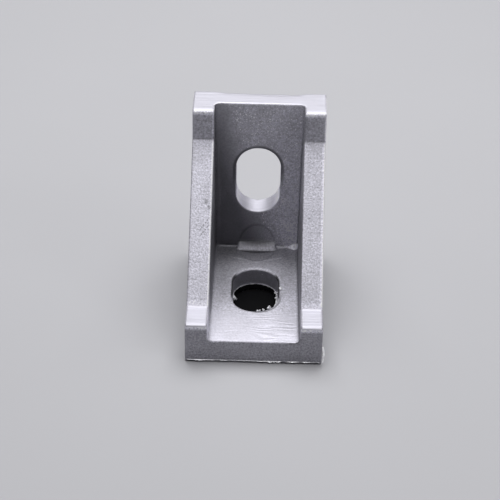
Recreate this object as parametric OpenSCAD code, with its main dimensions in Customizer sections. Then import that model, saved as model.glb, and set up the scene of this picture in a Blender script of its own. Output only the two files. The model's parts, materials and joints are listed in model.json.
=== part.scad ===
// Corner bracket for slotted framing profile, die cast in one piece.
// Two slotted plates stand at a right angle, and a rib at each side ties them together. A rib's edge
// slopes from leg to leg, and ends at both legs in a short square tip.
// X runs across the bracket, the base leg points to -Y and the back leg to +Z. The origin is the middle
// of the base's footprint. Inside the file, u is the distance out of the back face and v the height
// over the base, so that both legs have the same numbers. All sizes are in millimetres.

/* [Casting] */
// Length of each leg, from the heel to its end
leg = 28; // [26:0.5:45]
// Width over both ribs
width = 19.2; // [16:0.2:40]
// Thickness of the base and back plates
plate = 3.65; // [2.4:0.05:4.4]
// Thickness of a rib at the middle of its sloping edge
rib = 3.2; // [2:0.1:4]
// Draft of the channel between the ribs, in degrees
draft = 0.9; // [0.5:0.1:3]

/* [Rib tips] */
// Height of a tip over the outer face of its leg
tip_height = 6.15; // [5:0.05:9]
// Length of a tip along its leg
tip_length = 4.6; // [2:0.1:8]

/* [Slots] */
// Width of each slot
slot_width = 6.5; // [4.4:0.1:8]
// Length of each slot, end to end
slot_length = 10.7; // [9:0.1:13]
// Distance from the heel to the middle of each slot
slot_centre = 15.2; // [14:0.1:18]
// Chamfer of a slot's rim on the channel's side
slot_rim = 0.15; // [0.1:0.05:0.6]

/* [Edges] */
// Radius of the casting's edges
edge_radius = 0.2; // [0.1:0.05:0.6]
// Radius of the square corners of the rib tips, seen from the side
tip_radius = 0.6; // [0.3:0.05:1]
// Radius where the ribs grow out of the plates
root_radius = 0.6; // [0.3:0.05:1]

/* [Ejector mark] */
// Diameter of the ejector pin that pressed on the inner corner
pin_diameter = 5.7; // [4:0.1:8]
// Height of the flat that the pin left across the inner corner, on each plate
pin_flat = 0.9; // [0.7:0.1:2]
// Depth of the pin's print in the two plates
pin_depth = 0.12; // [0.05:0.01:0.3]

/* [Hidden] */

// Steps in a quarter turn of an edge
arc_steps = 3;
// Radius of the side view's other corners, which are rounder than the edges
corner_radius = 1.35 * edge_radius;
// How far an edge's chamfer runs out past its faces, as a share of its width
run_out = 0.3;
// How far a cutter runs past the face it cuts
overlap = 1;
// Half the distance between the end arcs of a slot
slot_reach = (slot_length - slot_width) / 2;
// Where the sloping edge crosses u = 0 or v = 0
slope_reach = leg - tip_length + tip_height;

// Corners of a rib, seen from the side, from the heel round to the top of the back leg, and their radii
rib_corners = [
    [0, 0], [leg, 0], [leg, tip_height], [leg - tip_length, tip_height],
    [tip_height, leg - tip_length], [tip_height, leg], [0, leg]
];
rib_radii = [
    corner_radius, corner_radius, tip_radius, corner_radius, corner_radius, tip_radius, corner_radius
];

// Outward normal of the edge from a to b of an outline that runs counter-clockwise
function normal(a, b) = let (e = (b - a) / norm(b - a)) [e.y, -e.x];

// The corner q between its neighbours p and s, rounded to a radius, with the outline drawn in by inset
function round_corner(p, q, s, radius, inset = 0) =
    let (
        n1 = normal(p, q),
        n2 = normal(q, s),
        side = sign(cross(q - p, s - q)),
        centre = q - side * radius * (n1 + n2) / (1 + n1 * n2),
        start = atan2(n1.y, n1.x),
        turn = atan2(cross(n1, n2), n1 * n2)
    )
    [for (i = [0:arc_steps])
        let (a = start + turn * i / arc_steps)
        centre + side * (radius - side * inset) * [cos(a), sin(a)]];

// The side view of a rib with its corners rounded, drawn in by inset
function rib_outline(inset) =
    let (c = rib_corners, n = len(c))
    [for (i = [0:n - 1])
        each round_corner(c[(i + n - 1) % n], c[i], c[(i + 1) % n], rib_radii[i], inset)];

// Distance of the channel's side from the middle at a point of the side view
function channel_half(p) = width / 2 - rib - tan(draft) * (slope_reach - p.x - p.y) / sqrt(2);

// A point of the side view at a distance x from the middle
function place(p, x) = [x, leg / 2 - p.x, p.y];

// Closed solid through rings of points that run across the bracket. Each end is closed by a fan from
// the first point of its ring, which has to see all the others
module loft(rings) {
    n = len(rings[0]);
    last = len(rings) - 1;
    polyhedron(
        points = [for (ring = rings) each ring],
        faces = [
            for (j = [1:n - 2]) [0, j + 1, j],
            for (i = [0:last - 1], j = [0:n - 1])
                let (a = i * n + j, b = i * n + (j + 1) % n)
                each [[a, b, a + n], [b, b + n, a + n]],
            for (j = [1:n - 2]) [last * n, last * n + j, last * n + j + 1]
        ]
    );
}

// The block that both legs are part of, with the edges of its two sides rounded
module block() {
    half = [for (i = [0:arc_steps])
        let (a = 90 * i / arc_steps)
        [width / 2 - edge_radius * (1 - sin(a)), edge_radius * (1 - cos(a))]];
    loft(concat(
        [for (i = [arc_steps:-1:0]) [for (p = rib_outline(half[i][1])) place(p, -half[i][0])]],
        [for (e = half) [for (p = rib_outline(e[1])) place(p, e[0])]]
    ));
}

// The core of the die, which leaves the channel between the ribs with its root radius
module channel_core() {
    far = leg + 2 * overlap;
    function ring(side, rise, gap) =
        let (t = plate + rise)
        [for (p = concat(round_corner([t, far], [t, t], [far, t], corner_radius), [[far, t], [far, far], [t, far]]))
            place(p, side * (channel_half(p) - gap))];
    function root(side, i) =
        let (a = 90 * i / arc_steps)
        ring(side, root_radius * (1 - cos(a)), root_radius * (1 - sin(a)));
    loft(concat(
        [for (i = [arc_steps:-1:0]) root(-1, i)],
        [for (i = [0:arc_steps]) root(1, i)]
    ));
}

// What comes off the inner edge of the rib at +X, from the front of the base over both tips to the top
module rib_edge() {
    near = -run_out * edge_radius;
    far = (1 + run_out) * edge_radius;
    section = [[far, near], [near, far], [near, near]];
    path = [for (e = section) crest_path(e[0])];
    loft([for (j = [0:len(path[0]) - 1])
        [for (k = [0:2]) place(path[k][j], channel_half(path[k][j]) + section[k][1])]]);
}

// The crest of a rib, drawn in by inset, from the front of the base plate to the top of the back plate
function crest_path(inset) =
    let (
        round = rib_outline(inset),
        k = arc_steps + 1,
        start = plate + root_radius
    )
    concat([[leg - inset, start]], [for (i = [2 * k:6 * k - 1]) round[i]], [[start, leg - inset]]);

// What comes off the edge at the end of the base plate, between the ribs
module plate_edge() {
    near = -run_out * edge_radius;
    far = (1 + run_out) * edge_radius;
    across(
        [[leg - far, plate - near], [leg - near, plate - far], [leg - near, plate - near]],
        2 * (channel_half([leg, plate]) - root_radius)
    );
}

// Half the section of a slot's cutter, from its middle plane to its wall, with the rim at the top
module slot_section() {
    half = slot_width / 2;
    polygon([
        [0, -overlap], [half, -overlap], [half, plate - slot_rim],
        [half + slot_rim + overlap, plate + overlap], [0, plate + overlap]
    ]);
}

// The slot through the base plate
module base_slot() {
    translate([0, leg / 2 - slot_centre, 0])
        for (turn = [0, 180])
            rotate([0, 0, turn]) {
                translate([0, slot_reach, 0]) rotate_extrude(angle = 180, $fn = 96) slot_section();
                rotate([90, 0, 0]) linear_extrude(2 * slot_reach, center = true) slot_section();
            }
}

// Puts what belongs to the base leg in the same place on the back leg
module on_back_leg() {
    translate([0, leg / 2, 0]) mirror([0, 1, 1]) translate([0, -leg / 2, 0]) children();
}

// A prism across the bracket over a polygon of the side view
module across(points, span) {
    translate([0, leg / 2, 0]) rotate([90, 0, -90]) linear_extrude(span, center = true) polygon(points);
}

// The ejector pin, which points out of the inner corner half-way between the plates
module pin() {
    translate([0, leg / 2 - plate, plate]) rotate([45, 0, 0])
        translate([0, 0, -pin_diameter]) cylinder(d = pin_diameter, h = 3 * pin_diameter, $fn = 96);
}

// What the pin's end left in the inner corner
module pin_land() {
    inside = plate - overlap;
    tip = plate + pin_flat;
    intersection() {
        pin();
        across([[inside, inside], [tip + overlap, inside], [inside, tip + overlap]], 2 * pin_diameter);
    }
}

// What the pin's end pressed out of the two plates
module pin_print() {
    face = plate - pin_depth;
    tip = plate + pin_flat + pin_depth;
    far = plate + 2 * pin_diameter;
    intersection() {
        pin();
        across([[tip, face], [far, face], [far, far], [face, far], [face, tip]], 2 * pin_diameter);
    }
}

module bracket() {
    color("silver")
    difference() {
        union() {
            difference() {
                block();
                channel_core();
            }
            pin_land();
        }
        rib_edge();
        mirror([1, 0, 0]) rib_edge();
        plate_edge();
        on_back_leg() plate_edge();
        base_slot();
        on_back_leg() base_slot();
        pin_print();
    }
}

bracket();
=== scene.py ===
"""Dresses a die-cast corner bracket for slotted framing profile and sets it on a pale studio floor."""
import json
import math

import bmesh
import bpy
from mathutils import Matrix, Vector


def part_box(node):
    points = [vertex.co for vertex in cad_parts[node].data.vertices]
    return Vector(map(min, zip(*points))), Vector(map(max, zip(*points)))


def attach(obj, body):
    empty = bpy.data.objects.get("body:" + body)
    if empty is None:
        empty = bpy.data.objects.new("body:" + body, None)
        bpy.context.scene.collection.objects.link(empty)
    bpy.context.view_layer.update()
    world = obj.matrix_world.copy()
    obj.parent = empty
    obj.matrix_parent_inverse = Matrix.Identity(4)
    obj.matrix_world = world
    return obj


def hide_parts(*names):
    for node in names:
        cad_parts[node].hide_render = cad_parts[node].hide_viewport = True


bl_info = {
    "name": "Profile Angle Bracket",
    "version": (1, 0, 0),
    "blender": (4, 5, 0),
    "location": "View3D > Sidebar > Bracket",
    "description": "Cast skin, flash, finish and studio for a corner bracket of slotted framing profile",
    "category": "Object",
}

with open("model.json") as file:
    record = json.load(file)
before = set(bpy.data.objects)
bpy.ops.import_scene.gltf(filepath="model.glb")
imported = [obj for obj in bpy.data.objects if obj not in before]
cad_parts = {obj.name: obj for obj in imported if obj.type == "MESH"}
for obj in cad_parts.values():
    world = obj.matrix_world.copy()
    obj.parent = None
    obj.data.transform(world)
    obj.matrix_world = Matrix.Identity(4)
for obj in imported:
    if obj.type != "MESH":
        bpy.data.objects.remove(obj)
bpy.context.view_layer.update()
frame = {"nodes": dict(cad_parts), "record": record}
LOW, HIGH = (Vector(corner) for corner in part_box("bracket"))
MM = 0.001


def ray_place(start, way):
    """Place in millimetres where a ray meets the bracket's solid."""
    depsgraph = bpy.context.evaluated_depsgraph_get()
    found, place, _, _ = frame["nodes"]["bracket"].ray_cast(Vector(start), Vector(way), depsgraph=depsgraph)
    if not found:
        raise RuntimeError("a ray that measures the bracket misses it")
    return place / MM


# Sizes in millimetres that the finish and the flash go by: the solid's box first
SIDE = HIGH.x / MM
FRONT = LOW.y / MM
BACK = HIGH.y / MM
TOP = HIGH.z / MM
# Height of the channel's floor, half its width at the middle of the ribs' slopes, and the front of its back
DOWN = (0.0, 0.0, -1.0)
RIGHT = (1.0, 0.0, 0.0)
PLATE = ray_place((0.0, 0.8 * LOW.y, 2 * HIGH.z), DOWN).z
INNER = ray_place((0.0, -0.15 * HIGH.y, HIGH.z / 2 - 0.15 * HIGH.y), RIGHT).x
FACE = BACK - PLATE
# Height of the ribs' lower tips, and of their slopes over the middle of the footprint
RIB_MIDDLE = (INNER + SIDE) / 2 * MM
TIP = ray_place((RIB_MIDDLE, 0.9 * LOW.y, 2 * HIGH.z), DOWN).z
CREST = ray_place((RIB_MIDDLE, 0.0, 2 * HIGH.z), DOWN).z
# Where the lower tips meet the slopes, and the front of the upper tips
TIP_START = TIP - CREST
TIP_FACE = BACK - TIP
# The slots, from the mounts
SLOTS = {mount["name"]: mount for mount in frame["record"]["mounts"] if mount["kind"] == "bolt_pattern"}
BASE_SLOT = SLOTS["base_slot"]["pos_m"][1] / MM
BACK_SLOT = SLOTS["back_slot"]["pos_m"][2] / MM
SLOT_RADIUS = SLOTS["base_slot"]["dims"]["hole_r_mm"]
SLOT_REACH = SLOTS["base_slot"]["dims"]["slot_length_mm"] / 2 - SLOT_RADIUS
# Radius of the line that the end of the ejector pin left
PIN_LINE = 2.75
# The web in the inner corner: where it pinches, its least reach, and how fast it widens to the right and left
WEB_PINCH = 4.6
WEB_LEAST = 0.07
WEB_RIGHT = 0.52
WEB_LEFT = 0.18


def linear(hex_colour):
    """An sRGB hex value as a linear colour."""
    parts = [int(hex_colour[i:i + 2], 16) / 255 for i in (1, 3, 5)]
    return tuple(c / 12.92 if c <= 0.04045 else ((c + 0.055) / 1.055) ** 2.4 for c in parts)


# Settings

def length(name, description, mm):
    """A length property with its default in millimetres."""
    return bpy.props.FloatProperty(
        name=name, description=description, default=mm * MM, min=0.0, precision=5,
        subtype="DISTANCE", unit="LENGTH",
    )


def angle(name, description, degrees):
    """An angle property with its default in degrees."""
    return bpy.props.FloatProperty(
        name=name, description=description, default=math.radians(degrees), subtype="ANGLE",
    )


def strength(name, description, default):
    """A property for how strong a light is."""
    return bpy.props.FloatProperty(name=name, description=description, default=default, min=0.0)


def colour(name, description, hex_colour):
    """A colour property with its default as an sRGB hex value."""
    return bpy.props.FloatVectorProperty(
        name=name, description=description, default=linear(hex_colour), min=0.0, max=1.0, subtype="COLOR",
    )


class CastingSettings(bpy.types.PropertyGroup):
    cell: length("Cell", "Size of the skin's mesh cells", 0.21)
    wave_depth: length("Wave depth", "How far the cast faces wander", 0.05)
    wave_size: length("Wave size", "Width of a wave in the cast faces", 3.5)
    pit_depth: length("Pit depth", "Depth of the blasted pitting", 0.022)
    pit_size: length("Pit size", "Width of the blasted pitting", 0.6)
    scar_depth: length("Gate scar", "Depth of the hollow where the gate was broken off", 0.4)


class FlashSettings(bpy.types.PropertyGroup):
    thickness: length("Thickness", "Thickness of the flash fins", 0.09)
    edge_reach: length("Edge reach", "How far the flash stands out of the base's edges", 0.36)
    slot_reach: length("Slot reach", "How far the flash stands into the base slot", 0.5)
    slot_level: length("Slot level", "Height of the slot's flash over the base face", 1.05)
    crumb: length("Crumb", "Radius that a crumb with a share of one has", 0.2)


class FinishSettings(bpy.types.PropertyGroup):
    cast: colour("Cast skin", "Reflected colour of the blasted aluminium", "#BDBCC4")
    sheared: colour("Bare metal", "Reflected colour where the metal was sheared or broke", "#C6C5CE")
    # Near-white, partly a painted highlight for the glints of the crumpled flash
    flash: colour("Flash", "Colour of the crumpled flash", "#F2F2F6")
    floor: colour("Floor", "Colour of the studio floor", "#B4B4B8")
    # A near-black card that stands in for the shade under the base slot, a painted shadow
    shadow_card: colour("Card", "Colour of the card under the base", "#121214")


class StudioSettings(bpy.types.PropertyGroup):
    azimuth: angle("Azimuth", "Turn of the camera from straight in front", 0.6)
    elevation: angle("Elevation", "Height of the camera over the floor", 33.18)
    roll: angle("Roll", "Tilt of the picture", 1.17)
    distance: length("Distance", "Distance of the camera from its target", 229.6)
    focal: bpy.props.FloatProperty(
        name="Focal length", description="Focal length in millimetres", default=114.8, min=10.0,
        subtype="DISTANCE_CAMERA",
    )
    overhead: strength("Overhead", "Radiance of the overhead soft light", 4.5)
    front: strength("Front", "Radiance of the soft light over the camera", 1.9)
    side: strength("Side", "Radiance of the small light at the right", 2.6)
    ambient: strength("Ambient", "Level of the room's own light", 0.06)


# Node helpers

def add(tree, kind, links=None, **settings):
    """Adds a node, sets its fields and unlinked inputs, and links the others from their sockets."""
    node = tree.nodes.new(kind)
    for key, value in settings.items():
        setattr(node, key, value)
    for key, value in (links or {}).items():
        socket = node.inputs[key]
        if isinstance(value, bpy.types.NodeSocket):
            tree.links.new(value, socket)
        else:
            socket.default_value = value
    return node


def arrange(tree):
    """Sets the nodes out in the order in which they were made."""
    for i, node in enumerate(tree.nodes):
        node.location = (220 * (i // 6), -200 * (i % 6))


def geometry_tree(name, sizes):
    """A tree with a geometry input and output and one float input for each name."""
    tree = bpy.data.node_groups.new(name, "GeometryNodeTree")
    tree.interface.new_socket("Geometry", in_out="INPUT", socket_type="NodeSocketGeometry")
    for size in sizes:
        tree.interface.new_socket(size, in_out="INPUT", socket_type="NodeSocketFloat")
    tree.interface.new_socket("Geometry", in_out="OUTPUT", socket_type="NodeSocketGeometry")
    start = tree.nodes.new("NodeGroupInput")
    return tree, start


def run_tree(obj, tree, values):
    """Runs a tree on an object, sets its inputs by identifier, and keeps the result as a plain mesh."""
    mod = obj.modifiers.new(tree.name, "NODES")
    mod.node_group = tree
    for item in tree.interface.items_tree:
        if item.item_type == "SOCKET" and item.in_out == "INPUT" and item.name in values:
            mod[item.identifier] = values[item.name]
    return keep_result(obj)


def keep_result(obj):
    """Turns an object's evaluated shape into its plain mesh and removes its modifiers."""
    depsgraph = bpy.context.evaluated_depsgraph_get()
    mesh = bpy.data.meshes.new_from_object(obj.evaluated_get(depsgraph), depsgraph=depsgraph)
    old = obj.data
    obj.modifiers.clear()
    obj.data = mesh
    mesh.name = obj.name
    bpy.data.meshes.remove(old)
    return obj


def link_object(name, mesh):
    obj = bpy.data.objects.new(name, mesh)
    bpy.context.scene.collection.objects.link(obj)
    return obj


def web_reach(tree, x, unit):
    """Reach of the inner corner's uneven web at a place across the bracket, in the given unit."""
    reach = 0.0
    for slope in (WEB_RIGHT, -WEB_LEFT):
        side = add(tree, "ShaderNodeMath", {0: x, 1: slope, 2: -slope * WEB_PINCH * unit},
                   operation="MULTIPLY_ADD").outputs[0]
        reach = add(tree, "ShaderNodeMath", {0: side, 1: reach}, operation="MAXIMUM").outputs[0]
    return add(tree, "ShaderNodeMath", {0: reach, 1: WEB_LEAST * unit}, operation="ADD").outputs[0]


# Materials

def new_material(name):
    """An empty node material with its Object coordinates in millimetres."""
    mat = bpy.data.materials.new(name)
    mat.use_nodes = True
    tree = mat.node_tree
    tree.nodes.clear()
    coords = add(tree, "ShaderNodeTexCoord")
    mm = add(tree, "ShaderNodeVectorMath", {0: coords.outputs["Object"], "Scale": 1 / MM}, operation="SCALE")
    return mat, tree, mm.outputs[0]


def zone(tree, *limits):
    """Part of the casting within soft limits, each a socket, its start and where it is full."""
    total = 1.0
    for value, start, full in limits:
        edge = add(tree, "ShaderNodeMapRange", {"Value": value, "From Min": start, "From Max": full},
                   interpolation_type="SMOOTHSTEP")
        total = add(tree, "ShaderNodeMath", {0: edge.outputs[0], 1: total}, operation="MULTIPLY").outputs[0]
    return total


def raised(tree, level, amount, *limits):
    """A level with an amount added to it within soft limits."""
    part = zone(tree, *limits)
    return add(tree, "ShaderNodeMath", {0: part, 1: amount, 2: level}, operation="MULTIPLY_ADD").outputs[0]


def scaled(tree, level, share, *limits):
    """A level that grows by a share of itself within soft limits."""
    growth = raised(tree, 1.0, share, *limits)
    return add(tree, "ShaderNodeMath", {0: level, 1: growth}, operation="MULTIPLY").outputs[0]


def slot_gap(tree, aside, along, centre):
    """Distance of a point of a plate from the rim of its slot."""
    gap = add(tree, "ShaderNodeMath", {0: along, 1: centre}, operation="SUBTRACT").outputs[0]
    gap = add(tree, "ShaderNodeMath", {0: gap}, operation="ABSOLUTE").outputs[0]
    gap = add(tree, "ShaderNodeMath", {0: gap, 1: SLOT_REACH}, operation="SUBTRACT").outputs[0]
    gap = add(tree, "ShaderNodeMath", {0: gap, 1: 0.0}, operation="MAXIMUM").outputs[0]
    gap = add(tree, "ShaderNodeCombineXYZ", {0: aside, 1: gap}).outputs[0]
    gap = add(tree, "ShaderNodeVectorMath", {0: gap}, operation="LENGTH").outputs["Value"]
    return add(tree, "ShaderNodeMath", {0: gap, 1: SLOT_RADIUS}, operation="SUBTRACT").outputs[0]


class Spots:
    """Sockets that say where a point of the casting lies, in millimetres, and which way it looks."""

    def __init__(self, tree, mm):
        self.x, self.y, self.z = add(tree, "ShaderNodeSeparateXYZ", {0: mm}).outputs
        surface = add(tree, "ShaderNodeNewGeometry").outputs
        self.to_x, self.to_y, self.to_z = add(tree, "ShaderNodeSeparateXYZ", {0: surface["Normal"]}).outputs
        self.sharp = surface["Pointiness"]
        # Distance from the middle, height over the floor, distance from the back, and place on a slope
        self.aside = add(tree, "ShaderNodeMath", {0: self.x}, operation="ABSOLUTE").outputs[0]
        self.rise = add(tree, "ShaderNodeMath", {0: self.z, 1: PLATE}, operation="SUBTRACT").outputs[0]
        self.run = add(tree, "ShaderNodeMath", {0: FACE, 1: self.y}, operation="SUBTRACT").outputs[0]
        self.crest = add(tree, "ShaderNodeMath", {0: self.z, 1: self.y}, operation="SUBTRACT").outputs[0]
        # Parts of the casting: what looks up, the inside of the channel, its back and its floor
        self.upward = zone(tree, (self.to_z, 0.2, 0.62))
        self.channel = zone(tree, (self.rise, -0.4, -0.25), (self.run, -0.4, -0.25),
                            (self.aside, INNER + 0.3, INNER + 0.1))
        self.on_plate = zone(tree, (self.y, FACE - 0.8, FACE - 0.4), (self.to_y, -0.5, -0.85))
        self.on_floor = zone(tree, (self.z, PLATE + 1.4, PLATE + 0.4), (self.to_z, 0.55, 0.85))


def skin_level_with_painted_light(tree, at):
    """How pale the skin is on upright faces and on faces that look up, with painted light and shade in it."""
    upright = add(tree, "ShaderNodeMapRange", {"Value": at.z, "From Min": 4.0, "From Max": 26.0,
                                               "To Min": 0.83, "To Max": 1.06}).outputs[0]
    # Faces that look left get a little painted shade
    upright = raised(tree, upright, -0.02, (at.to_x, -0.4, -0.8))
    # Painted light on the inside of the left rib at the open end, and painted shade there in the shelter of
    # the back plate
    left_wall = ((at.to_x, 0.5, 0.85), (at.x, -4.0, -5.0))
    upright = raised(tree, upright, 0.65, *left_wall, (at.y, -5.0, -12.5))
    upright = raised(tree, upright, -0.42, *left_wall, (at.y, -10.0, -4.0))
    fade = add(tree, "ShaderNodeMath", {0: at.z, 1: 0.4, 2: at.x}, operation="MULTIPLY_ADD").outputs[0]
    sloping = add(tree, "ShaderNodeMapRange", {"Value": fade, "From Min": -6.0, "From Max": 16.0,
                                               "To Min": 1.5, "To Max": 1.27}).outputs[0]
    # Faces that look up are paler, partly the blasted skin and partly painted light from overhead
    return add(tree, "ShaderNodeMix", {0: at.upward, 2: upright, 3: sloping}).outputs[0]


def back_level(tree, at):
    """How pale the skin is on the back of the channel, which was blasted most at the right."""
    slant = add(tree, "ShaderNodeMath", {0: at.z, 1: 0.35, 2: at.x}, operation="MULTIPLY_ADD").outputs[0]
    level = add(tree, "ShaderNodeMapRange", {"Value": slant, "From Min": -0.3, "From Max": 7.4,
                                             "To Min": 0.36, "To Max": 1.42},
                interpolation_type="SMOOTHSTEP").outputs[0]
    lower = add(tree, "ShaderNodeMapRange", {"Value": at.z, "From Min": 5.0, "From Max": 26.0,
                                             "To Min": 1.28, "To Max": 0.88}).outputs[0]
    level = add(tree, "ShaderNodeMath", {0: level, 1: lower}, operation="MULTIPLY").outputs[0]
    # Painted shade: a dark band round the upper half of the slot stands in for its rolled-in rim
    gap = slot_gap(tree, at.aside, at.z, BACK_SLOT)
    return scaled(tree, level, -0.6, (gap, 0.65, 0.35), (at.z, BACK_SLOT - 2.0, BACK_SLOT + 2.0))


def floor_level_with_painted_shade(tree, at):
    """How pale the skin is on the floor of the channel: darker towards the back plate, partly the skin that
    was blasted least there and partly painted shade of the back plate.
    """
    toward = add(tree, "ShaderNodeMath", {0: at.x, 1: -0.2, 2: at.y}, operation="MULTIPLY_ADD").outputs[0]
    level = add(tree, "ShaderNodeMapRange", {"Value": toward, "From Min": 10.5, "From Max": -6.5,
                                             "To Min": 0.57, "To Max": 1.31}).outputs[0]
    return raised(tree, level, 0.12, (at.x, 3.2, 4.6), (at.y, -6.5, -3.5), (at.y, 5.0, 1.5))


def paint_edge_highlights(tree, at, level):
    """Paints highlights on rounded edges, strongest on those that look to the right, and brightens the foot
    of each slope.
    """
    crest = (at.crest, CREST - 0.75, CREST - 0.35)
    # Painted highlight on rounded edges that look to the right
    level = raised(tree, level, 1.3, (at.sharp, 0.51, 0.56), (at.to_x, 0.08, 0.4), crest,
                   (at.y, TIP_START - 0.2, TIP_START + 0.6))
    slope = (crest, (at.y, TIP_START, TIP_START + 0.6), (at.y, TIP_FACE + 0.05, TIP_FACE - 0.55))
    # Painted highlights on the inner edges of the slopes, brighter on the left rib, and on the right rib's
    # outer edge
    inner_edge_highlight = add(tree, "ShaderNodeMapRange", {"Value": at.x, "From Min": -1.0, "From Max": 1.0,
                                            "To Min": 0.45, "To Max": 0.24}).outputs[0]
    level = raised(tree, level, inner_edge_highlight, (at.aside, INNER + 0.4, INNER + 0.25), (at.upward, 0.3, 0.8), *slope)
    level = raised(tree, level, 0.36, (at.x, SIDE - 0.6, SIDE - 0.36), (at.upward, 0.2, 0.6), *slope)
    level = raised(tree, level, 0.3, (at.y, TIP_START + 0.85, TIP_START + 0.4), (at.upward, 0.5, 0.9),
                   (at.rise, 1.5, 2.0))
    # Painted highlight on the rounded edges under the sheared ends of the ribs
    for front, top in ((FRONT, TIP), (TIP_FACE, TOP)):
        edge_highlight = zone(tree, (at.y, front + 0.45, front + 0.25), (at.z, top - 0.95, top - 0.4),
                      (at.aside, INNER - 0.1, INNER + 0.2), (at.to_y, -0.3, -0.6))
        level = add(tree, "ShaderNodeMix", {0: edge_highlight, 2: level, 3: 1.9}).outputs[0]
    return level


def scuff_slope(tree, at, grit, level):
    """Darkens a few broken scuffs, 0.7 mm apart, and two dents on the slope of the left rib."""
    across = add(tree, "ShaderNodeMath", {0: at.y, 1: at.x}, operation="SUBTRACT").outputs[0]
    stroke = add(tree, "ShaderNodeMath", {0: across, 1: 2 * math.pi / 0.7}, operation="MULTIPLY").outputs[0]
    stroke = add(tree, "ShaderNodeMath", {0: stroke}, operation="SINE").outputs[0]
    worn = zone(tree, (stroke, 0.2, 0.8), (grit, 0.6, 0.5), (across, 5.0, 5.3), (across, 7.1, 6.8),
                (at.x, -8.2, -7.9), (at.x, -6.7, -7.0), (at.upward, 0.5, 0.9))
    for x, y in ((-6.8, 0.75), (-7.3, 1.35)):
        dent = zone(tree, (at.x, x - 0.35, x - 0.1), (at.x, x + 0.35, x + 0.1), (at.y, y - 0.3, y - 0.1),
                    (at.y, y + 0.3, y + 0.1), (at.upward, 0.5, 0.9))
        worn = add(tree, "ShaderNodeMath", {0: worn, 1: dent}, operation="MAXIMUM").outputs[0]
    return add(tree, "ShaderNodeMath", {0: worn, 1: -0.6, 2: level}, operation="MULTIPLY_ADD").outputs[0]


def mark_corner(tree, at, level):
    """Draws the ejector pin's print, the seam in front of it and the web on the inner corner, and paints
    highlights and shade into the corner.
    """
    inside = (at.channel, 0.0, 1.0)
    # The line that the end of the pin pressed into both plates
    drop = add(tree, "ShaderNodeMath", {0: at.y, 1: at.z}, operation="ADD").outputs[0]
    drop = add(tree, "ShaderNodeMath", {0: drop, 1: FACE + PLATE}, operation="SUBTRACT").outputs[0]
    drop = add(tree, "ShaderNodeMath", {0: drop, 1: math.sqrt(0.5)}, operation="MULTIPLY").outputs[0]
    ring = add(tree, "ShaderNodeCombineXYZ", {0: at.x, 1: drop}).outputs[0]
    ring = add(tree, "ShaderNodeVectorMath", {0: ring}, operation="LENGTH").outputs["Value"]
    faint = add(tree, "ShaderNodeMapRange", {"Value": at.x, "From Min": -3.0, "From Max": 1.0,
                                             "To Min": -0.06, "To Max": -0.26}).outputs[0]
    faint = add(tree, "ShaderNodeMix", {0: at.on_floor, 2: faint, 3: -0.09}).outputs[0]
    level = raised(tree, level, faint, (ring, PIN_LINE - 0.2, PIN_LINE - 0.03),
                   (ring, PIN_LINE + 0.2, PIN_LINE + 0.03), (at.z, 9.0, 8.5), (at.y, 4.5, 5.0), inside)
    # A V where two streams of metal met on the floor behind the slot
    seam = add(tree, "ShaderNodeMath", {0: at.aside, 1: -0.335, 2: at.y}, operation="MULTIPLY_ADD").outputs[0]
    level = raised(tree, level, 0.3, (seam, 5.85, 6.1), (seam, 6.4, 6.15), (at.aside, 4.0, 3.2),
                   (at.rise, 0.4, 0.2), inside)
    # Painted highlight: the web is painted brighter the wider it gets
    far = add(tree, "ShaderNodeMath", {0: at.rise, 1: at.run}, operation="MAXIMUM").outputs[0]
    depth = add(tree, "ShaderNodeMath", {0: web_reach(tree, at.x, 1.0), 1: far},
                operation="SUBTRACT").outputs[0]
    web = zone(tree, (depth, -0.15, 0.0), (at.x, 3.0, 3.2), inside)
    web_highlight = zone(tree, (at.x, 3.6, 5.8))
    web_highlight = add(tree, "ShaderNodeMapRange", {"Value": web_highlight, "To Min": 0.75, "To Max": 2.0}).outputs[0]
    level = add(tree, "ShaderNodeMix", {0: web, 2: level, 3: web_highlight}).outputs[0]
    # Painted shade on the left half of the corner
    level = scaled(tree, level, -0.25, (at.x, -3.0, -3.3), (at.rise, 0.5, 0.3), (at.run, 0.5, 0.3), inside)
    # The flat that the pin left is smoother and darker than the plates, with painted light along its foot
    # fading to painted shade towards its top
    bow = add(tree, "ShaderNodeMath", {0: at.aside, 1: at.aside}, operation="MULTIPLY").outputs[0]
    flat_light_and_shade = add(tree, "ShaderNodeMath", {0: bow, 1: -0.045, 2: at.rise}, operation="MULTIPLY_ADD").outputs[0]
    flat_light_and_shade = add(tree, "ShaderNodeMapRange", {"Value": flat_light_and_shade, "From Min": 0.2, "From Max": 0.7,
                                           "To Min": 0.15, "To Max": -0.66}).outputs[0]
    level = scaled(tree, level, flat_light_and_shade, (at.aside, 3.1, 2.9), (at.run, 1.3, 1.0), (at.rise, 1.1, 0.85),
                   (at.to_y, -0.4, -0.6), (at.to_z, 0.05, 0.2), inside)
    # Painted shadow on the floor under the flat, down to a bow
    bow = add(tree, "ShaderNodeMath", {0: bow, 1: 0.08, 2: at.run}, operation="MULTIPLY_ADD").outputs[0]
    return scaled(tree, level, -0.55, (bow, 1.85, 1.5), (at.run, 0.9, 1.05), (at.rise, 0.3, 0.15), inside)


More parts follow.
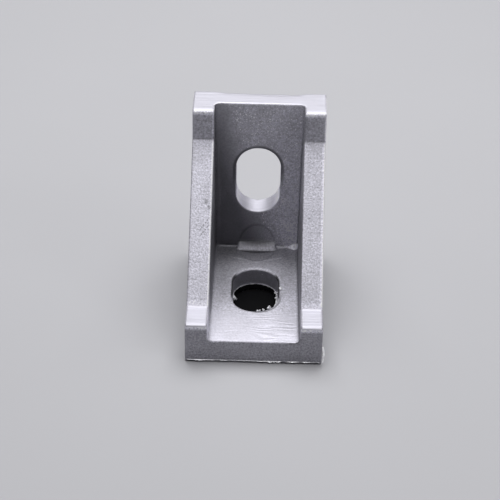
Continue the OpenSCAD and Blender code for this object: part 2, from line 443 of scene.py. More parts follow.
def mark_slot(tree, at, level):
    """Draws a pale band behind the base slot, painted shade on its sides and a painted shade line along the
    burr's outline in front on the right.
    """
    rim = slot_gap(tree, at.aside, at.y, BASE_SLOT)
    level = raised(tree, level, 0.2, (rim, 0.8, 0.4), (at.y, BASE_SLOT + 1.5, BASE_SLOT + 4.0),
                   (at.on_floor, 0.5, 1.0))
    sides = zone(tree, (rim, 0.34, 0.22), (at.aside, 2.6, 3.1), (at.y, BASE_SLOT - 2.4, BASE_SLOT - 1.4),
                 (at.y, BASE_SLOT + 5.0, BASE_SLOT + 4.5), (at.rise, -0.5, -0.2), (at.rise, 0.4, 0.2))
    outline = zone(tree, (rim, 0.18, 0.3), (rim, 0.56, 0.4), (at.x, -0.8, 0.6),
                   (at.y, BASE_SLOT - 1.0, BASE_SLOT - 2.0), (at.on_floor, 0.0, 0.5))
    # Painted shade on the slot's sides and along the burr's outline
    shade = add(tree, "ShaderNodeMath", {0: sides, 1: 1.6}, operation="MULTIPLY").outputs[0]
    shade = add(tree, "ShaderNodeMath", {0: shade, 1: outline}, operation="MAXIMUM").outputs[0]
    shade = add(tree, "ShaderNodeMath", {0: shade, 1: -0.5, 2: 1.0}, operation="MULTIPLY_ADD").outputs[0]
    return add(tree, "ShaderNodeMath", {0: level, 1: shade}, operation="MULTIPLY").outputs[0]


def sheared_parts(tree, at):
    """The top edge, the ribs' lower ends, the back slot's ledge, and how bright the bare metal is there."""
    top = zone(tree, (at.z, TOP - 0.8, TOP - 0.5), (at.to_z, 0.75, 0.95))
    high = (at.z, TIP - 0.85, TIP - 0.55)
    ends = zone(tree, (at.y, TIP_START + 0.4, TIP_START + 0.2), high, (at.to_z, 0.74, 0.85))
    nose = zone(tree, (at.y, FRONT + 0.8, FRONT + 0.6), high, (at.to_z, 0.4, 0.7))
    ends = add(tree, "ShaderNodeMath", {0: ends, 1: nose}, operation="MAXIMUM").outputs[0]
    ledge = zone(tree, (at.y, FACE - 0.1, FACE + 0.3), (at.z, BACK_SLOT + 4.8, BACK_SLOT + 2.8),
                 (at.z, BACK_SLOT - 6.4, BACK_SLOT - 5.8), (at.to_z, 0.05, 0.35))
    curl = zone(tree, (at.to_z, 0.95, 0.5))
    curl = add(tree, "ShaderNodeMapRange", {"Value": curl, "To Min": 0.15, "To Max": 0.75}).outputs[0]
    sheared = 0.0
    bright = 1.0
    for part, amount in ((ledge, curl), (ends, -0.14), (top, -0.05)):
        sheared = add(tree, "ShaderNodeMath", {0: part, 1: sheared}, operation="MAXIMUM").outputs[0]
        bright = add(tree, "ShaderNodeMath", {0: part, 1: amount, 2: bright},
                     operation="MULTIPLY_ADD").outputs[0]
    return sheared, bright


def flow_marks(tree, at, mm, marked):
    """Wavy marks, 0.8 mm apart, that the metal's flow left on part of the casting, strongest at the right."""
    along = add(tree, "ShaderNodeVectorMath", {0: mm, 1: (0.45, 1.0, 1.0)}, operation="MULTIPLY").outputs[0]
    swirl = add(tree, "ShaderNodeTexNoise", {"Vector": along, "Scale": 1 / 2.2, "Detail": 1.0}).outputs[0]
    patch = add(tree, "ShaderNodeTexNoise", {"Vector": along, "Scale": 1 / 1.1, "Detail": 1.0}).outputs[0]
    phase = add(tree, "ShaderNodeMath", {0: swirl, 1: 2.4, 2: at.y}, operation="MULTIPLY_ADD").outputs[0]
    turn = add(tree, "ShaderNodeMath", {0: phase, 1: 2 * math.pi / 0.8}, operation="MULTIPLY").outputs[0]
    flow = add(tree, "ShaderNodeMath", {0: turn}, operation="SINE").outputs[0]
    rightward = zone(tree, (at.x, -1.0, 2.5))
    rightward = add(tree, "ShaderNodeMapRange", {"Value": rightward, "To Min": 0.25,
                                                 "To Max": 1.0}).outputs[0]
    broken = zone(tree, (patch, 0.36, 0.6))
    for part in (marked, rightward, broken):
        flow = add(tree, "ShaderNodeMath", {0: flow, 1: part}, operation="MULTIPLY").outputs[0]
    return flow


def cast_aluminium(finish, slot_level):
    """Die-cast aluminium, lightly blasted: a grey metal whose fine pitting scatters every highlight.

    The shot came from above and from the right, so faces that look up are pitted and paler, partly from the
    shot and partly from painted light, and upright faces keep more of the smooth skin of the die and are
    darker.
    Painted shade darkens corners, roots and the base slot's walls, and painted highlights brighten rounded
    edges and grains. The ends of the ribs and the top edge were sheared flat, which leaves them brighter and
    faintly streaked across.
    """
    mat, tree, mm = new_material("die_cast_aluminium")
    at = Spots(tree, mm)
    # Blasting grit is about 0.1 mm across; it is drawn at 0.25 mm so that it shows in the picture
    grit = add(tree, "ShaderNodeTexNoise", {"Vector": mm, "Scale": 1 / 0.25, "Detail": 3.0,
                                            "Roughness": 0.65}).outputs[0]
    speck = add(tree, "ShaderNodeTexNoise", {"Vector": mm, "Scale": 1 / 0.18, "Detail": 1.0}).outputs[0]
    cloud = add(tree, "ShaderNodeTexNoise", {"Vector": mm, "Scale": 1 / 3.5, "Detail": 2.0}).outputs[0]
    # Shear marks run across the bracket, about 0.3 mm apart
    drawn = add(tree, "ShaderNodeVectorMath", {0: mm, 1: (0.16, 3.2, 1.0)}, operation="MULTIPLY").outputs[0]
    streak = add(tree, "ShaderNodeTexNoise", {"Vector": drawn, "Scale": 1.0, "Detail": 3.0}).outputs[0]

    # How pale the skin is, with painted light and shade in it
    level = skin_level_with_painted_light(tree, at)
    plate_level = back_level(tree, at)
    level = add(tree, "ShaderNodeMix", {0: at.on_plate, 2: level, 3: plate_level}).outputs[0]
    level = add(tree, "ShaderNodeMix", {0: at.on_floor, 2: level, 3: floor_level_with_painted_shade(tree, at)}).outputs[0]
    # Painted shade: the roots of the ribs are painted as dark as their walls, with painted light towards the
    # open end on the left
    root = zone(tree, (at.rise, 1.4, 0.7), (at.aside, INNER - 1.8, INNER - 1.3), (at.to_z, 0.85, 0.55),
                (at.to_z, 0.1, 0.25), (at.channel, 0.0, 1.0))
    root_light_and_shade = zone(tree, (at.x, 0.0, -1.0), (at.y, -5.0, -12.5))
    root_light_and_shade = add(tree, "ShaderNodeMapRange", {"Value": root_light_and_shade, "To Min": 0.68, "To Max": 1.4}).outputs[0]
    level = add(tree, "ShaderNodeMix", {0: root, 2: level, 3: root_light_and_shade}).outputs[0]
    level = paint_edge_highlights(tree, at, level)
    level = scuff_slope(tree, at, grit, level)
    level = mark_corner(tree, at, level)
    level = mark_slot(tree, at, level)
    rough = add(tree, "ShaderNodeMapRange", {"Value": level, "From Min": 0.4, "From Max": 1.3,
                                             "To Min": 0.5, "To Max": 0.64}).outputs[0]

    # How much the grit shows
    gain = add(tree, "ShaderNodeMapRange", {"Value": at.upward, "To Min": 1.8, "To Max": 1.45}).outputs[0]
    outer = zone(tree, (at.aside, SIDE - 0.6, SIDE - 0.3), (at.upward, 0.5, 0.0))
    behind = zone(tree, (at.to_y, 0.4, 0.8))
    outer = add(tree, "ShaderNodeMath", {0: outer, 1: behind}, operation="MAXIMUM").outputs[0]
    gain = add(tree, "ShaderNodeMix", {0: outer, 2: gain, 3: 0.9}).outputs[0]
    plate_gain = add(tree, "ShaderNodeMapRange", {"Value": plate_level, "From Min": 0.4, "From Max": 1.2,
                                                  "To Min": 0.3, "To Max": 1.3}).outputs[0]
    gain = add(tree, "ShaderNodeMix", {0: at.on_plate, 2: gain, 3: plate_gain}).outputs[0]
    in_slot = zone(tree, (at.aside, SLOT_RADIUS + 0.45, SLOT_RADIUS + 0.25),
                   (at.z, PLATE - 0.05, PLATE - 0.2), (at.to_z, 0.7, 0.5), (at.to_z, -0.7, -0.5),
                   (at.y, BASE_SLOT - 6.8, BASE_SLOT - 6.3), (at.y, BASE_SLOT + 6.1, BASE_SLOT + 5.8))
    marked = zone(tree, (at.y, -5.5, -8.0), (at.z, PLATE + 0.8, PLATE + 0.3), (at.to_z, 0.6, 0.9))
    smooth = add(tree, "ShaderNodeMath", {0: in_slot, 1: marked}, operation="MAXIMUM").outputs[0]
    gain = add(tree, "ShaderNodeMix", {0: smooth, 2: gain, 3: 0.5}).outputs[0]
    tone = add(tree, "ShaderNodeMath", {0: grit, 1: 0.5}, operation="SUBTRACT").outputs[0]
    tone = add(tree, "ShaderNodeMath", {0: tone, 1: gain, 2: 0.97}, operation="MULTIPLY_ADD").outputs[0]
    # Painted glints: grains of the blasted upper right part of the back plate are painted brighter, as if
    # they flashed back the light
    tone = raised(tree, tone, 1.0, (speck, 0.63, 0.72), (plate_level, 0.85, 1.2), (at.on_plate, 0.5, 1.0))

    # The skin's colour, the bare metal's, and both together
    drift = add(tree, "ShaderNodeMapRange", {"Value": cloud, "From Min": 0.3, "From Max": 0.7,
                                             "To Min": 0.93, "To Max": 1.06}).outputs[0]
    flow = flow_marks(tree, at, mm, marked)
    waves = add(tree, "ShaderNodeMath", {0: flow, 1: 0.08, 2: 1.0}, operation="MULTIPLY_ADD").outputs[0]
    # Painted shadow on the walls of the base slot under its flash, and painted light above it
    slot_light_and_shade = zone(tree, (at.z, slot_level + 0.05, slot_level - 0.1))
    slot_light_and_shade = add(tree, "ShaderNodeMapRange", {"Value": slot_light_and_shade, "To Min": 0.6, "To Max": -0.9}).outputs[0]
    slot_light_and_shade = add(tree, "ShaderNodeMath", {0: in_slot, 1: slot_light_and_shade, 2: 1.0}, operation="MULTIPLY_ADD").outputs[0]
    for factor in (level, slot_light_and_shade, drift, waves):
        tone = add(tree, "ShaderNodeMath", {0: tone, 1: factor}, operation="MULTIPLY").outputs[0]
    sheared, bright = sheared_parts(tree, at)
    lines = add(tree, "ShaderNodeMapRange", {"Value": streak, "From Min": 0.3, "From Max": 0.7,
                                             "To Min": 0.92, "To Max": 1.06}).outputs[0]
    lines = add(tree, "ShaderNodeMath", {0: lines, 1: bright}, operation="MULTIPLY").outputs[0]
    skin, bare = (
        add(tree, "ShaderNodeMix", {0: 1.0, 6: (*base, 1.0), 7: shade}, data_type="RGBA",
            blend_type="MULTIPLY").outputs[2]
        for base, shade in ((finish.cast, tone), (finish.sheared, lines))
    )
    metal = add(tree, "ShaderNodeMix", {0: sheared, 6: skin, 7: bare}, data_type="RGBA").outputs[2]

    rough = add(tree, "ShaderNodeMath", {0: speck, 1: 0.12, 2: rough}, operation="MULTIPLY_ADD").outputs[0]
    rough = add(tree, "ShaderNodeMix", {0: sheared, 2: rough, 3: 0.6}).outputs[0]
    height = add(tree, "ShaderNodeMath", {0: flow, 1: 0.5, 2: grit}, operation="MULTIPLY_ADD").outputs[0]
    height = add(tree, "ShaderNodeMix", {0: sheared, 2: height, 3: streak}).outputs[0]
    bump = add(tree, "ShaderNodeBump", {"Height": height, "Strength": 0.7, "Distance": 0.07 * MM}).outputs[0]
    shader = add(tree, "ShaderNodeBsdfPrincipled", {"Base Color": metal, "Metallic": 0.92, "Roughness": rough,
                                                    "Normal": bump})
    add(tree, "ShaderNodeOutputMaterial", {"Surface": shader.outputs[0]})
    arrange(tree)
    return mat


def torn_aluminium(finish):
    """Aluminium flash: torn and finely crumpled, so it scatters light almost like white paint; its near-white
    colour also stands in for the glints that the crumples catch, a painted highlight.
    """
    mat, tree, mm = new_material("torn_aluminium_flash")
    torn = add(tree, "ShaderNodeTexNoise", {"Vector": mm, "Scale": 1 / 0.4, "Detail": 2.0}).outputs[0]
    tone = add(tree, "ShaderNodeMapRange", {"Value": torn, "From Min": 0.3, "From Max": 0.7,
                                            "To Min": 0.8, "To Max": 1.05}).outputs[0]
    metal = add(tree, "ShaderNodeMix", {0: 1.0, 6: (*finish.flash, 1.0), 7: tone},
                data_type="RGBA", blend_type="MULTIPLY").outputs[2]
    shader = add(tree, "ShaderNodeBsdfPrincipled", {"Base Color": metal, "Metallic": 0.3, "Roughness": 0.32})
    add(tree, "ShaderNodeOutputMaterial", {"Surface": shader.outputs[0]})
    arrange(tree)
    return mat


def studio_paint(name, base, gloss):
    """Matt paint on the studio's floor and card, with a trace of unevenness."""
    mat, tree, mm = new_material(name)
    cloud = add(tree, "ShaderNodeTexNoise", {"Vector": mm, "Scale": 1 / 60, "Detail": 2.0}).outputs[0]
    tone = add(tree, "ShaderNodeMapRange", {"Value": cloud, "To Min": 0.97, "To Max": 1.03}).outputs[0]
    shade = add(tree, "ShaderNodeMix", {0: 1.0, 6: (*base, 1.0), 7: tone},
                data_type="RGBA", blend_type="MULTIPLY").outputs[2]
    shader = add(tree, "ShaderNodeBsdfPrincipled", {
        "Base Color": shade, "Roughness": 0.95, "Specular IOR Level": gloss,
    })
    add(tree, "ShaderNodeOutputMaterial", {"Surface": shader.outputs[0]})
    arrange(tree)
    return mat


# Casting

def skin_tree():
    """Lets the faces wander, pits them, hollows the gate scar on the top edge and fills the corner's web."""
    tree, start = geometry_tree("cast_skin", [
        "Wave depth", "Wave size", "Pit depth", "Pit size", "Gate scar",
    ])
    place = add(tree, "GeometryNodeInputPosition").outputs[0]
    normal = add(tree, "GeometryNodeInputNormal").outputs[0]
    depth = 0.0
    for size, amount, detail in (("Wave size", "Wave depth", 1.0), ("Pit size", "Pit depth", 2.0)):
        scale = add(tree, "ShaderNodeMath", {0: 1.0, 1: start.outputs[size]}, operation="DIVIDE").outputs[0]
        noise = add(tree, "ShaderNodeTexNoise", {"Vector": place, "Scale": scale,
                                                 "Detail": detail}).outputs[0]
        depth = add(tree, "ShaderNodeMath", {0: noise, 1: start.outputs[amount], 2: depth},
                    operation="MULTIPLY_ADD").outputs[0]
    inwards = add(tree, "ShaderNodeMath", {0: depth, 1: -1.0}, operation="MULTIPLY").outputs[0]
    skin = add(tree, "ShaderNodeVectorMath", {0: normal, "Scale": inwards}, operation="SCALE").outputs[0]
    worn = add(tree, "GeometryNodeSetPosition", {"Geometry": start.outputs["Geometry"],
                                                 "Offset": skin}).outputs[0]
    # The gate was sheared off along the middle of the top edge
    x, y, z = add(tree, "ShaderNodeSeparateXYZ", {0: place}).outputs
    ragged = add(tree, "ShaderNodeTexNoise", {"Vector": place, "Scale": 1 / (1.6 * MM),
                                              "Detail": 2.0}).outputs[0]
    ragged = add(tree, "ShaderNodeMapRange", {"Value": ragged, "From Min": 0.35, "From Max": 0.7,
                                              "To Min": 0.5, "To Max": 1.0}).outputs[0]
    scar = zone(tree, (x, -6.6 * MM, -4.4 * MM), (x, 7.4 * MM, 5.2 * MM), (y, HIGH.y - 1.5 * MM, HIGH.y),
                (z, HIGH.z - 1.6 * MM, HIGH.z - 0.2 * MM))
    for factor in (ragged, start.outputs["Gate scar"]):
        scar = add(tree, "ShaderNodeMath", {0: scar, 1: factor}, operation="MULTIPLY").outputs[0]
    cut = add(tree, "ShaderNodeVectorMath", {0: (0.0, -1.0, -0.25), "Scale": scar},
              operation="SCALE").outputs[0]
    scarred = add(tree, "GeometryNodeSetPosition", {"Geometry": worn, "Offset": cut}).outputs[0]
    # The web to the right of the pin's print fills the corner up to a slope
    rise = add(tree, "ShaderNodeMath", {0: z, 1: PLATE * MM}, operation="SUBTRACT").outputs[0]
    run = add(tree, "ShaderNodeMath", {0: FACE * MM, 1: y}, operation="SUBTRACT").outputs[0]
    far = add(tree, "ShaderNodeMath", {0: rise, 1: run}, operation="MAXIMUM").outputs[0]
    lift = add(tree, "ShaderNodeMath", {0: web_reach(tree, x, MM), 1: far}, operation="SUBTRACT").outputs[0]
    lift = add(tree, "ShaderNodeMath", {0: lift, 1: 0.0}, operation="MAXIMUM").outputs[0]
    corner = zone(tree, (x, 3.0 * MM, 3.2 * MM), (x, 6.9 * MM, 6.6 * MM), (rise, -0.4 * MM, -0.3 * MM),
                  (run, -0.4 * MM, -0.3 * MM))
    lift = add(tree, "ShaderNodeMath", {0: lift, 1: corner}, operation="MULTIPLY").outputs[0]
    web = add(tree, "ShaderNodeVectorMath", {0: (0.0, -0.5, 0.5), "Scale": lift},
              operation="SCALE").outputs[0]
    webbed = add(tree, "GeometryNodeSetPosition", {"Geometry": scarred, "Offset": web})
    shaded = add(tree, "GeometryNodeSetShadeSmooth", {"Geometry": webbed.outputs[0], "Shade Smooth": True})
    real = add(tree, "GeometryNodeRealizeInstances", {"Geometry": shaded.outputs[0]})
    finish = add(tree, "GeometryNodeSetMaterial", {"Geometry": real.outputs[0]})
    add(tree, "NodeGroupOutput", {"Geometry": finish.outputs[0]})
    arrange(tree)
    return tree, finish


class BRACKET_OT_casting(bpy.types.Operator):
    """Makes the cast skin over the bracket's solid"""
    bl_idname = "bracket.casting"
    bl_label = "Casting"

    def execute(self, context):
        sizes = context.scene.bracket_casting
        mesh = frame["nodes"]["bracket"].data.copy()
        mesh.materials.clear()
        form = bmesh.new()
        form.from_mesh(mesh)
        bmesh.ops.remove_doubles(form, verts=form.verts, dist=0.002 * MM)
        form.to_mesh(mesh)
        form.free()
        casting = link_object("casting", mesh)
        cells = casting.modifiers.new("cells", "REMESH")
        cells.mode = "VOXEL"
        cells.voxel_size = sizes.cell
        cells.use_smooth_shade = True
        fit = casting.modifiers.new("fit", "SHRINKWRAP")
        fit.wrap_method = "NEAREST_SURFACEPOINT"
        fit.target = frame["nodes"]["bracket"]
        tree, finish = skin_tree()
        finish.inputs["Material"].default_value = cast_aluminium(
            context.scene.bracket_finish, context.scene.bracket_flash.slot_level / MM)
        run_tree(casting, tree, {
            "Wave depth": sizes.wave_depth, "Wave size": sizes.wave_size, "Pit depth": sizes.pit_depth,
            "Pit size": sizes.pit_size, "Gate scar": sizes.scar_depth,
        })
        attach(casting, "root")
        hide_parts("bracket")
        return {"FINISHED"}


# Flash

def fin_tree():
    """Grows a thin torn fin out of a line of points, along each point's way out and as far as its reach."""
    tree, start = geometry_tree("flash_fin", ["Reach", "Thickness", "Tear", "Fray"])
    way = add(tree, "GeometryNodeInputNamedAttribute", {"Name": "way_out"},
              data_type="FLOAT_VECTOR").outputs[0]
    share = add(tree, "GeometryNodeInputNamedAttribute", {"Name": "share"}, data_type="FLOAT").outputs[0]
    place = add(tree, "GeometryNodeInputPosition").outputs[0]
    scale = add(tree, "ShaderNodeMath", {0: 1.0, 1: start.outputs["Tear"]}, operation="DIVIDE").outputs[0]
    torn = add(tree, "ShaderNodeTexNoise", {"Vector": place, "Scale": scale, "Detail": 3.0,
                                            "Roughness": 0.7}).outputs[0]
    whole = add(tree, "ShaderNodeMath", {0: 1.0, 1: start.outputs["Fray"]}, operation="SUBTRACT").outputs[0]
    torn = add(tree, "ShaderNodeMapRange", {"Value": torn, "From Min": 0.36, "From Max": 0.66,
                                            "To Min": whole, "To Max": 1.0}).outputs[0]
    reach = add(tree, "ShaderNodeMath", {0: torn, 1: share}, operation="MULTIPLY").outputs[0]
    reach = add(tree, "ShaderNodeMath", {0: reach, 1: start.outputs["Reach"]},
                operation="MULTIPLY").outputs[0]
    strip = add(tree, "GeometryNodeExtrudeMesh", {
        "Mesh": start.outputs["Geometry"], "Offset": way, "Offset Scale": reach,
    }, mode="EDGES")
    skin = add(tree, "GeometryNodeExtrudeMesh", {
        "Mesh": strip.outputs["Mesh"], "Offset Scale": start.outputs["Thickness"], "Individual": False,
    }, mode="FACES")
    under = add(tree, "GeometryNodeFlipFaces", {"Mesh": strip.outputs["Mesh"]})
    both = add(tree, "GeometryNodeJoinGeometry")
    tree.links.new(skin.outputs["Mesh"], both.inputs[0])
    tree.links.new(under.outputs[0], both.inputs[0])
    closed = add(tree, "GeometryNodeMergeByDistance", {"Geometry": both.outputs[0], "Distance": 0.001 * MM})
    flat = add(tree, "GeometryNodeSetShadeSmooth", {"Geometry": closed.outputs[0], "Shade Smooth": False})
    real = add(tree, "GeometryNodeRealizeInstances", {"Geometry": flat.outputs[0]})
    finish = add(tree, "GeometryNodeSetMaterial", {"Geometry": real.outputs[0]})
    add(tree, "NodeGroupOutput", {"Geometry": finish.outputs[0]})
    arrange(tree)
    return tree, finish


def crumb_tree():
    """Puts a small crumpled grain at each point, turned at random and sized by the point's share."""
    tree, start = geometry_tree("flash_crumbs", ["Radius"])
    share = add(tree, "GeometryNodeInputNamedAttribute", {"Name": "share"}, data_type="FLOAT").outputs[0]
    grain = add(tree, "GeometryNodeMeshIcoSphere", {"Radius": 1.0, "Subdivisions": 2}).outputs["Mesh"]
    place = add(tree, "GeometryNodeInputPosition").outputs[0]
    dents = add(tree, "ShaderNodeTexNoise", {"Vector": place, "Scale": 1.3, "Detail": 1.0}).outputs[0]
    dents = add(tree, "ShaderNodeMapRange", {"Value": dents, "From Min": 0.3, "From Max": 0.7,
                                             "To Min": -0.55, "To Max": 0.1}).outputs[0]
    push = add(tree, "ShaderNodeVectorMath", {0: place, "Scale": dents}, operation="SCALE").outputs[0]
    grain = add(tree, "GeometryNodeSetPosition", {"Geometry": grain, "Offset": push}).outputs[0]
    turn = add(tree, "FunctionNodeRandomValue", {
        "Min": (0.0, 0.0, 0.0), "Max": (6.283, 6.283, 6.283), "Seed": 4,
    }, data_type="FLOAT_VECTOR").outputs[0]
    size = add(tree, "ShaderNodeMath", {0: share, 1: start.outputs["Radius"]},
               operation="MULTIPLY").outputs[0]
    grains = add(tree, "GeometryNodeInstanceOnPoints", {
        "Points": start.outputs["Geometry"], "Instance": grain, "Rotation": turn, "Scale": size,
    })
    real = add(tree, "GeometryNodeRealizeInstances", {"Geometry": grains.outputs[0]})
    flat = add(tree, "GeometryNodeSetShadeSmooth", {"Geometry": real.outputs[0], "Shade Smooth": False})
    finish = add(tree, "GeometryNodeSetMaterial", {"Geometry": flat.outputs[0]})
    add(tree, "NodeGroupOutput", {"Geometry": finish.outputs[0]})
    arrange(tree)
    return tree, finish


def flash_line(name, points, ways, shares, closed=False, every=1):
    """A line of points that carries the way out of the casting and the share of the reach at each point."""
    count = len(points)
    edges = [(i, (i + 1) % count) for i in range(0, count if closed else count - 1, every)]
    mesh = bpy.data.meshes.new(name)
    mesh.from_pydata(points, edges, [])
    way_out = mesh.attributes.new("way_out", "FLOAT_VECTOR", "POINT")
    way_out.data.foreach_set("vector", [c for w in ways for c in w])
    share = mesh.attributes.new("share", "FLOAT", "POINT")
    share.data.foreach_set("value", shares)
    return link_object(name, mesh)


def peaked(t, peaks, base):
    """Share of the reach at a place along a line: a base, and peaks with their places, heights and widths."""
    return base + sum(h * math.exp(-((t - p) / w) ** 2) for p, h, w in peaks)


def straight(start, end, way, step, peaks, base):
    """Points, ways and shares along a straight edge, with higher shares at the given peaks."""
    start, end = Vector(start) * MM, Vector(end) * MM
    count = max(2, round((end - start).length / (step * MM)))
    points = [start.lerp(end, i / count) for i in range(count + 1)]
    shares = [peaked(i / count, peaks, base) for i in range(count + 1)]
    return points, [Vector(way).normalized()] * (count + 1), shares


def slot_rim(centre_y, level, radius, reach, count, peaks, base, span=(0.0, 1.0)):
    """Points, inward ways and shares round the base slot, from its right side over the back to the left."""
    arcs = math.pi * radius
    total = 2 * arcs + 4 * reach
    points, ways, shares = [], [], []
    for i in range(count):
        t = span[0] + (span[1] - span[0]) * i / (count - (0 if span == (0.0, 1.0) else 1))
        run = (t % 1.0) * total
        if run < 2 * reach:
            place, way = Vector((radius, -reach + run)), Vector((-1.0, 0.0))
        elif run < 2 * reach + arcs:
            a = (run - 2 * reach) / radius
            way = Vector((-math.cos(a), -math.sin(a)))
            place = Vector((0.0, reach)) - way * radius
        elif run < 4 * reach + arcs:
            place, way = Vector((-radius, reach - (run - 2 * reach - arcs))), Vector((1.0, 0.0))
        else:
            a = math.pi + (run - 4 * reach - arcs) / radius
            way = Vector((-math.cos(a), -math.sin(a)))
            place = Vector((0.0, -reach)) - way * radius
        points.append(Vector((place.x, place.y + centre_y, level)) * MM)
        ways.append(Vector((way.x, way.y, 0.0)))
        shares.append(max(0.0, peaked(t, peaks, base)))
    return points, ways, shares


class BRACKET_OT_flash(bpy.types.Operator):
    """Makes the thin torn flash along the base's front edge, its right corner and the base slot"""
    bl_idname = "bracket.flash"
    bl_label = "Flash"

    def execute(self, context):
        sizes = context.scene.bracket_flash
        tree, finish = fin_tree()
        finish.inputs["Material"].default_value = torn_aluminium(context.scene.bracket_finish)
        level = sizes.slot_level / MM
        rim = SLOT_RADIUS + 0.06
        # Each line has its reach, the width of its tears, how far they go, whether it closes, and its points.
        # A peak has its place along the line, its height and its width
        lines = (
            ("front_flash", sizes.edge_reach, 0.8, 0.92, False, straight(
                (-SIDE + 0.35, FRONT + 0.08, 0.3), (SIDE - 0.3, FRONT + 0.08, 0.3), (0, -1, -0.62), 0.12,
                [(0.09, 1.0, 0.03), (0.27, 0.2, 0.03), (0.41, 0.15, 0.03), (0.57, 0.35, 0.03),
                 (0.63, 0.9, 0.018), (0.685, 0.8, 0.012), (0.8, 0.15, 0.03), (0.88, 0.2, 0.02)], 0.22)),
            ("slot_flash", sizes.slot_reach, 0.5, 0.85, True, slot_rim(
                BASE_SLOT, level, rim, SLOT_REACH, 200,
                [(0.03, 0.8, 0.02), (0.1, 0.9, 0.008), (0.129, 1.0, 0.008), (0.154, 1.1, 0.008),
                 (0.18, 0.8, 0.01), (0.965, 0.8, 0.02), (0.512, 1.5, 0.013), (0.54, 0.5, 0.01)], 0.3)),
            ("rim_flash", sizes.slot_reach, 0.4, 0.5, False, slot_rim(
                BASE_SLOT, PLATE - 0.4, rim, SLOT_REACH, 120,
                [(0.76, -0.5, 0.04), (0.875, 0.5, 0.012), (0.915, 0.4, 0.012), (0.965, 0.4, 0.015)], 0.5,
                (0.77, 0.995))),
        )
        for name, reach, tear, fray, closed, (points, ways, shares) in lines:
            fin = flash_line(name, points, ways, shares, closed)
            run_tree(fin, tree, {
                "Reach": reach, "Thickness": sizes.thickness, "Tear": tear * MM, "Fray": fray,
            })
            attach(fin, "root")
        # Flakes up the right front corner, one over the other, that lean out to the front and right
        across, down = Vector((0.11, 0.07, 0.0)), Vector((0.33, -0.52, -0.79))
        steps = [i / 9 for i in range(10)]
        middles = [Vector((SIDE + 0.12 * math.sin(math.pi * t), FRONT + 0.04, 0.8 + 2.3 * t)) for t in steps]
        ends = [(middle + across * sign) * MM for middle in middles for sign in (-1, 1)]
        flakes = flash_line("corner_flash", ends, [down] * len(ends), [1.0] * len(ends), every=2)
        run_tree(flakes, tree, {
            "Reach": sizes.edge_reach, "Thickness": sizes.thickness / 2, "Tear": 0.3 * MM, "Fray": 0.3,
        })
        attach(flakes, "root")
        # Crumbs on the rim and walls of the base slot and on the front edge, each with its place and size
        top, edge = PLATE - 0.05, FRONT - 0.02
        crumbs = (
            ((3.66, -1.0, top + 0.12), 1.6), ((3.55, -0.65, top), 1.0), ((3.2, -0.8, top - 0.7), 0.9),
            ((3.15, -1.4, top - 0.7), 0.8), ((3.1, -2.2, top - 0.7), 1.0), ((3.15, -3.2, top - 0.4), 1.0),
            ((3.1, -3.9, top - 0.3), 1.2), ((2.1, -5.15, top - 0.25), 1.5), ((1.9, -5.4, top - 0.25), 1.0),
            ((1.25, -5.75, top - 0.3), 1.0), ((0.75, -5.95, top - 0.3), 0.8), ((0.4, -6.0, top - 0.3), 1.0),
            ((-3.1, 0.0, level + 0.1), 1.6), ((-2.8, -0.05, level + 0.05), 1.0),
            ((0.95, 4.1, top - 0.8), 0.7),
            ((2.9, edge, 0.25), 0.8), ((2.4, edge, 0.25), 0.9), ((3.4, edge, 0.2), 0.7),
            ((-7.6, edge, 0.22), 0.9), ((-7.2, edge, 0.25), 0.8), ((-8.0, edge, 0.2), 0.6),
        )
        points = [Vector(place) * MM for place, _ in crumbs]
        grains = flash_line("crumbs", points, [(0, 0, 1)] * len(crumbs), [size for _, size in crumbs])
        tree, finish = crumb_tree()
        finish.inputs["Material"].default_value = bpy.data.materials["torn_aluminium_flash"]
        run_tree(grains, tree, {"Radius": sizes.crumb})
        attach(grains, "root")
        return {"FINISHED"}


# Studio

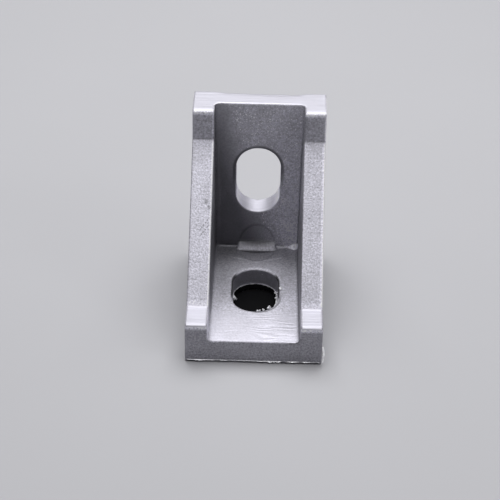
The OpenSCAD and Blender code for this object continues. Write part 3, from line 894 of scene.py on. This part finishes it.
class BRACKET_OT_studio(bpy.types.Operator):
    """Sets the floor, the soft lights and the camera"""
    bl_idname = "bracket.studio"
    bl_label = "Studio"

    def execute(self, context):
        scene = context.scene
        studio, finish = scene.bracket_studio, scene.bracket_finish
        half = 0.75
        level = -0.02 * MM
        self.sheet("floor", half, half, level, studio_paint("pale_matt_paint", finish.floor, 0.5))
        # Painted shadow: a dark card under the base stands in for the shade on the floor under the slot; it
        # shows only through the slot
        paint = studio_paint("shadow_card_paint", finish.shadow_card, 0.1)
        self.sheet("shadow_card", 0.8 * HIGH.x, 0.8 * HIGH.y, level / 2, paint)
        self.lamp("overhead", (0.0, 0.11, 0.33), (0.0, 0.0, 0.0), (0.34, 0.34), studio.overhead)
        self.lamp("front", (-0.02, -0.13, 0.36), (0.0, 0.0, 0.0), (0.2, 0.16), studio.front)
        self.lamp("side", (0.30, -0.14, 0.22), (0.0, 0.0, 0.01), (0.12, 0.12), studio.side)
        world = bpy.data.worlds.new("room")
        scene.world = world
        world.use_nodes = True
        back = world.node_tree.nodes["Background"]
        back.inputs["Color"].default_value = (0.97, 0.97, 1.0, 1.0)
        back.inputs["Strength"].default_value = studio.ambient
        self.camera(scene, studio)
        scene.view_settings.view_transform = "Standard"
        return {"FINISHED"}

    def sheet(self, name, wide, deep, level, paint):
        """A painted rectangle at a level, given by half its width and half its depth."""
        mesh = bpy.data.meshes.new(name)
        corners = [(-wide, -deep, level), (wide, -deep, level), (wide, deep, level), (-wide, deep, level)]
        mesh.from_pydata(corners, [], [(0, 1, 2, 3)])
        mesh.materials.append(paint)
        return link_object(name, mesh)

    def lamp(self, name, place, aim, size, radiance):
        """A rectangular soft light whose face has the given radiance."""
        light = bpy.data.lights.new(name, "AREA")
        light.shape = "RECTANGLE"
        light.size, light.size_y = size
        light.energy = radiance * math.pi * size[0] * size[1]
        obj = bpy.data.objects.new(name, light)
        obj.location = place
        obj.rotation_euler = (Vector(aim) - Vector(place)).to_track_quat("-Z", "Y").to_euler()
        bpy.context.scene.collection.objects.link(obj)

    def camera(self, scene, studio):
        data = bpy.data.cameras.new("camera")
        data.sensor_width = 36.0
        data.lens = studio.focal
        data.clip_start = 0.01
        data.clip_end = 5.0
        az, el, roll = studio.azimuth, studio.elevation, studio.roll
        back = Vector((math.sin(az) * math.cos(el), -math.cos(az) * math.cos(el), math.sin(el)))
        right = Vector((math.cos(az), math.sin(az), 0.0))
        up = back.cross(right)
        across = right * math.cos(roll) + up * math.sin(roll)
        upward = up * math.cos(roll) - right * math.sin(roll)
        target = Vector((-0.9 * MM, 0.0, 9.72 * MM))
        place = target + back * studio.distance
        matrix = Matrix((across, upward, back)).transposed().to_4x4()
        matrix.translation = place
        obj = bpy.data.objects.new("camera", data)
        obj.matrix_world = matrix
        scene.collection.objects.link(obj)
        scene.camera = obj


class BRACKET_PT_panel(bpy.types.Panel):
    """Lists the bracket's settings and the steps that build it"""
    bl_idname = "BRACKET_PT_panel"
    bl_label = "Profile Angle Bracket"
    bl_space_type = "VIEW_3D"
    bl_region_type = "UI"
    bl_category = "Bracket"

    def draw(self, context):
        scene = context.scene
        for name in SETTINGS:
            settings = getattr(scene, name)
            box = self.layout.box()
            for key in settings.__annotations__:
                box.prop(settings, key)
        for step in STEPS:
            self.layout.operator(step.bl_idname)


SETTINGS = {
    "bracket_casting": CastingSettings,
    "bracket_flash": FlashSettings,
    "bracket_finish": FinishSettings,
    "bracket_studio": StudioSettings,
}
STEPS = (BRACKET_OT_casting, BRACKET_OT_flash, BRACKET_OT_studio)


def register():
    for cls in (*SETTINGS.values(), *STEPS, BRACKET_PT_panel):
        bpy.utils.register_class(cls)
    for name, cls in SETTINGS.items():
        setattr(bpy.types.Scene, name, bpy.props.PointerProperty(type=cls))


def unregister():
    for name in SETTINGS:
        delattr(bpy.types.Scene, name)
    for cls in reversed((*SETTINGS.values(), *STEPS, BRACKET_PT_panel)):
        bpy.utils.unregister_class(cls)


def main():
    register()
    bpy.ops.bracket.casting()
    bpy.ops.bracket.flash()
    bpy.ops.bracket.studio()


if __name__ == "__main__":
    main()
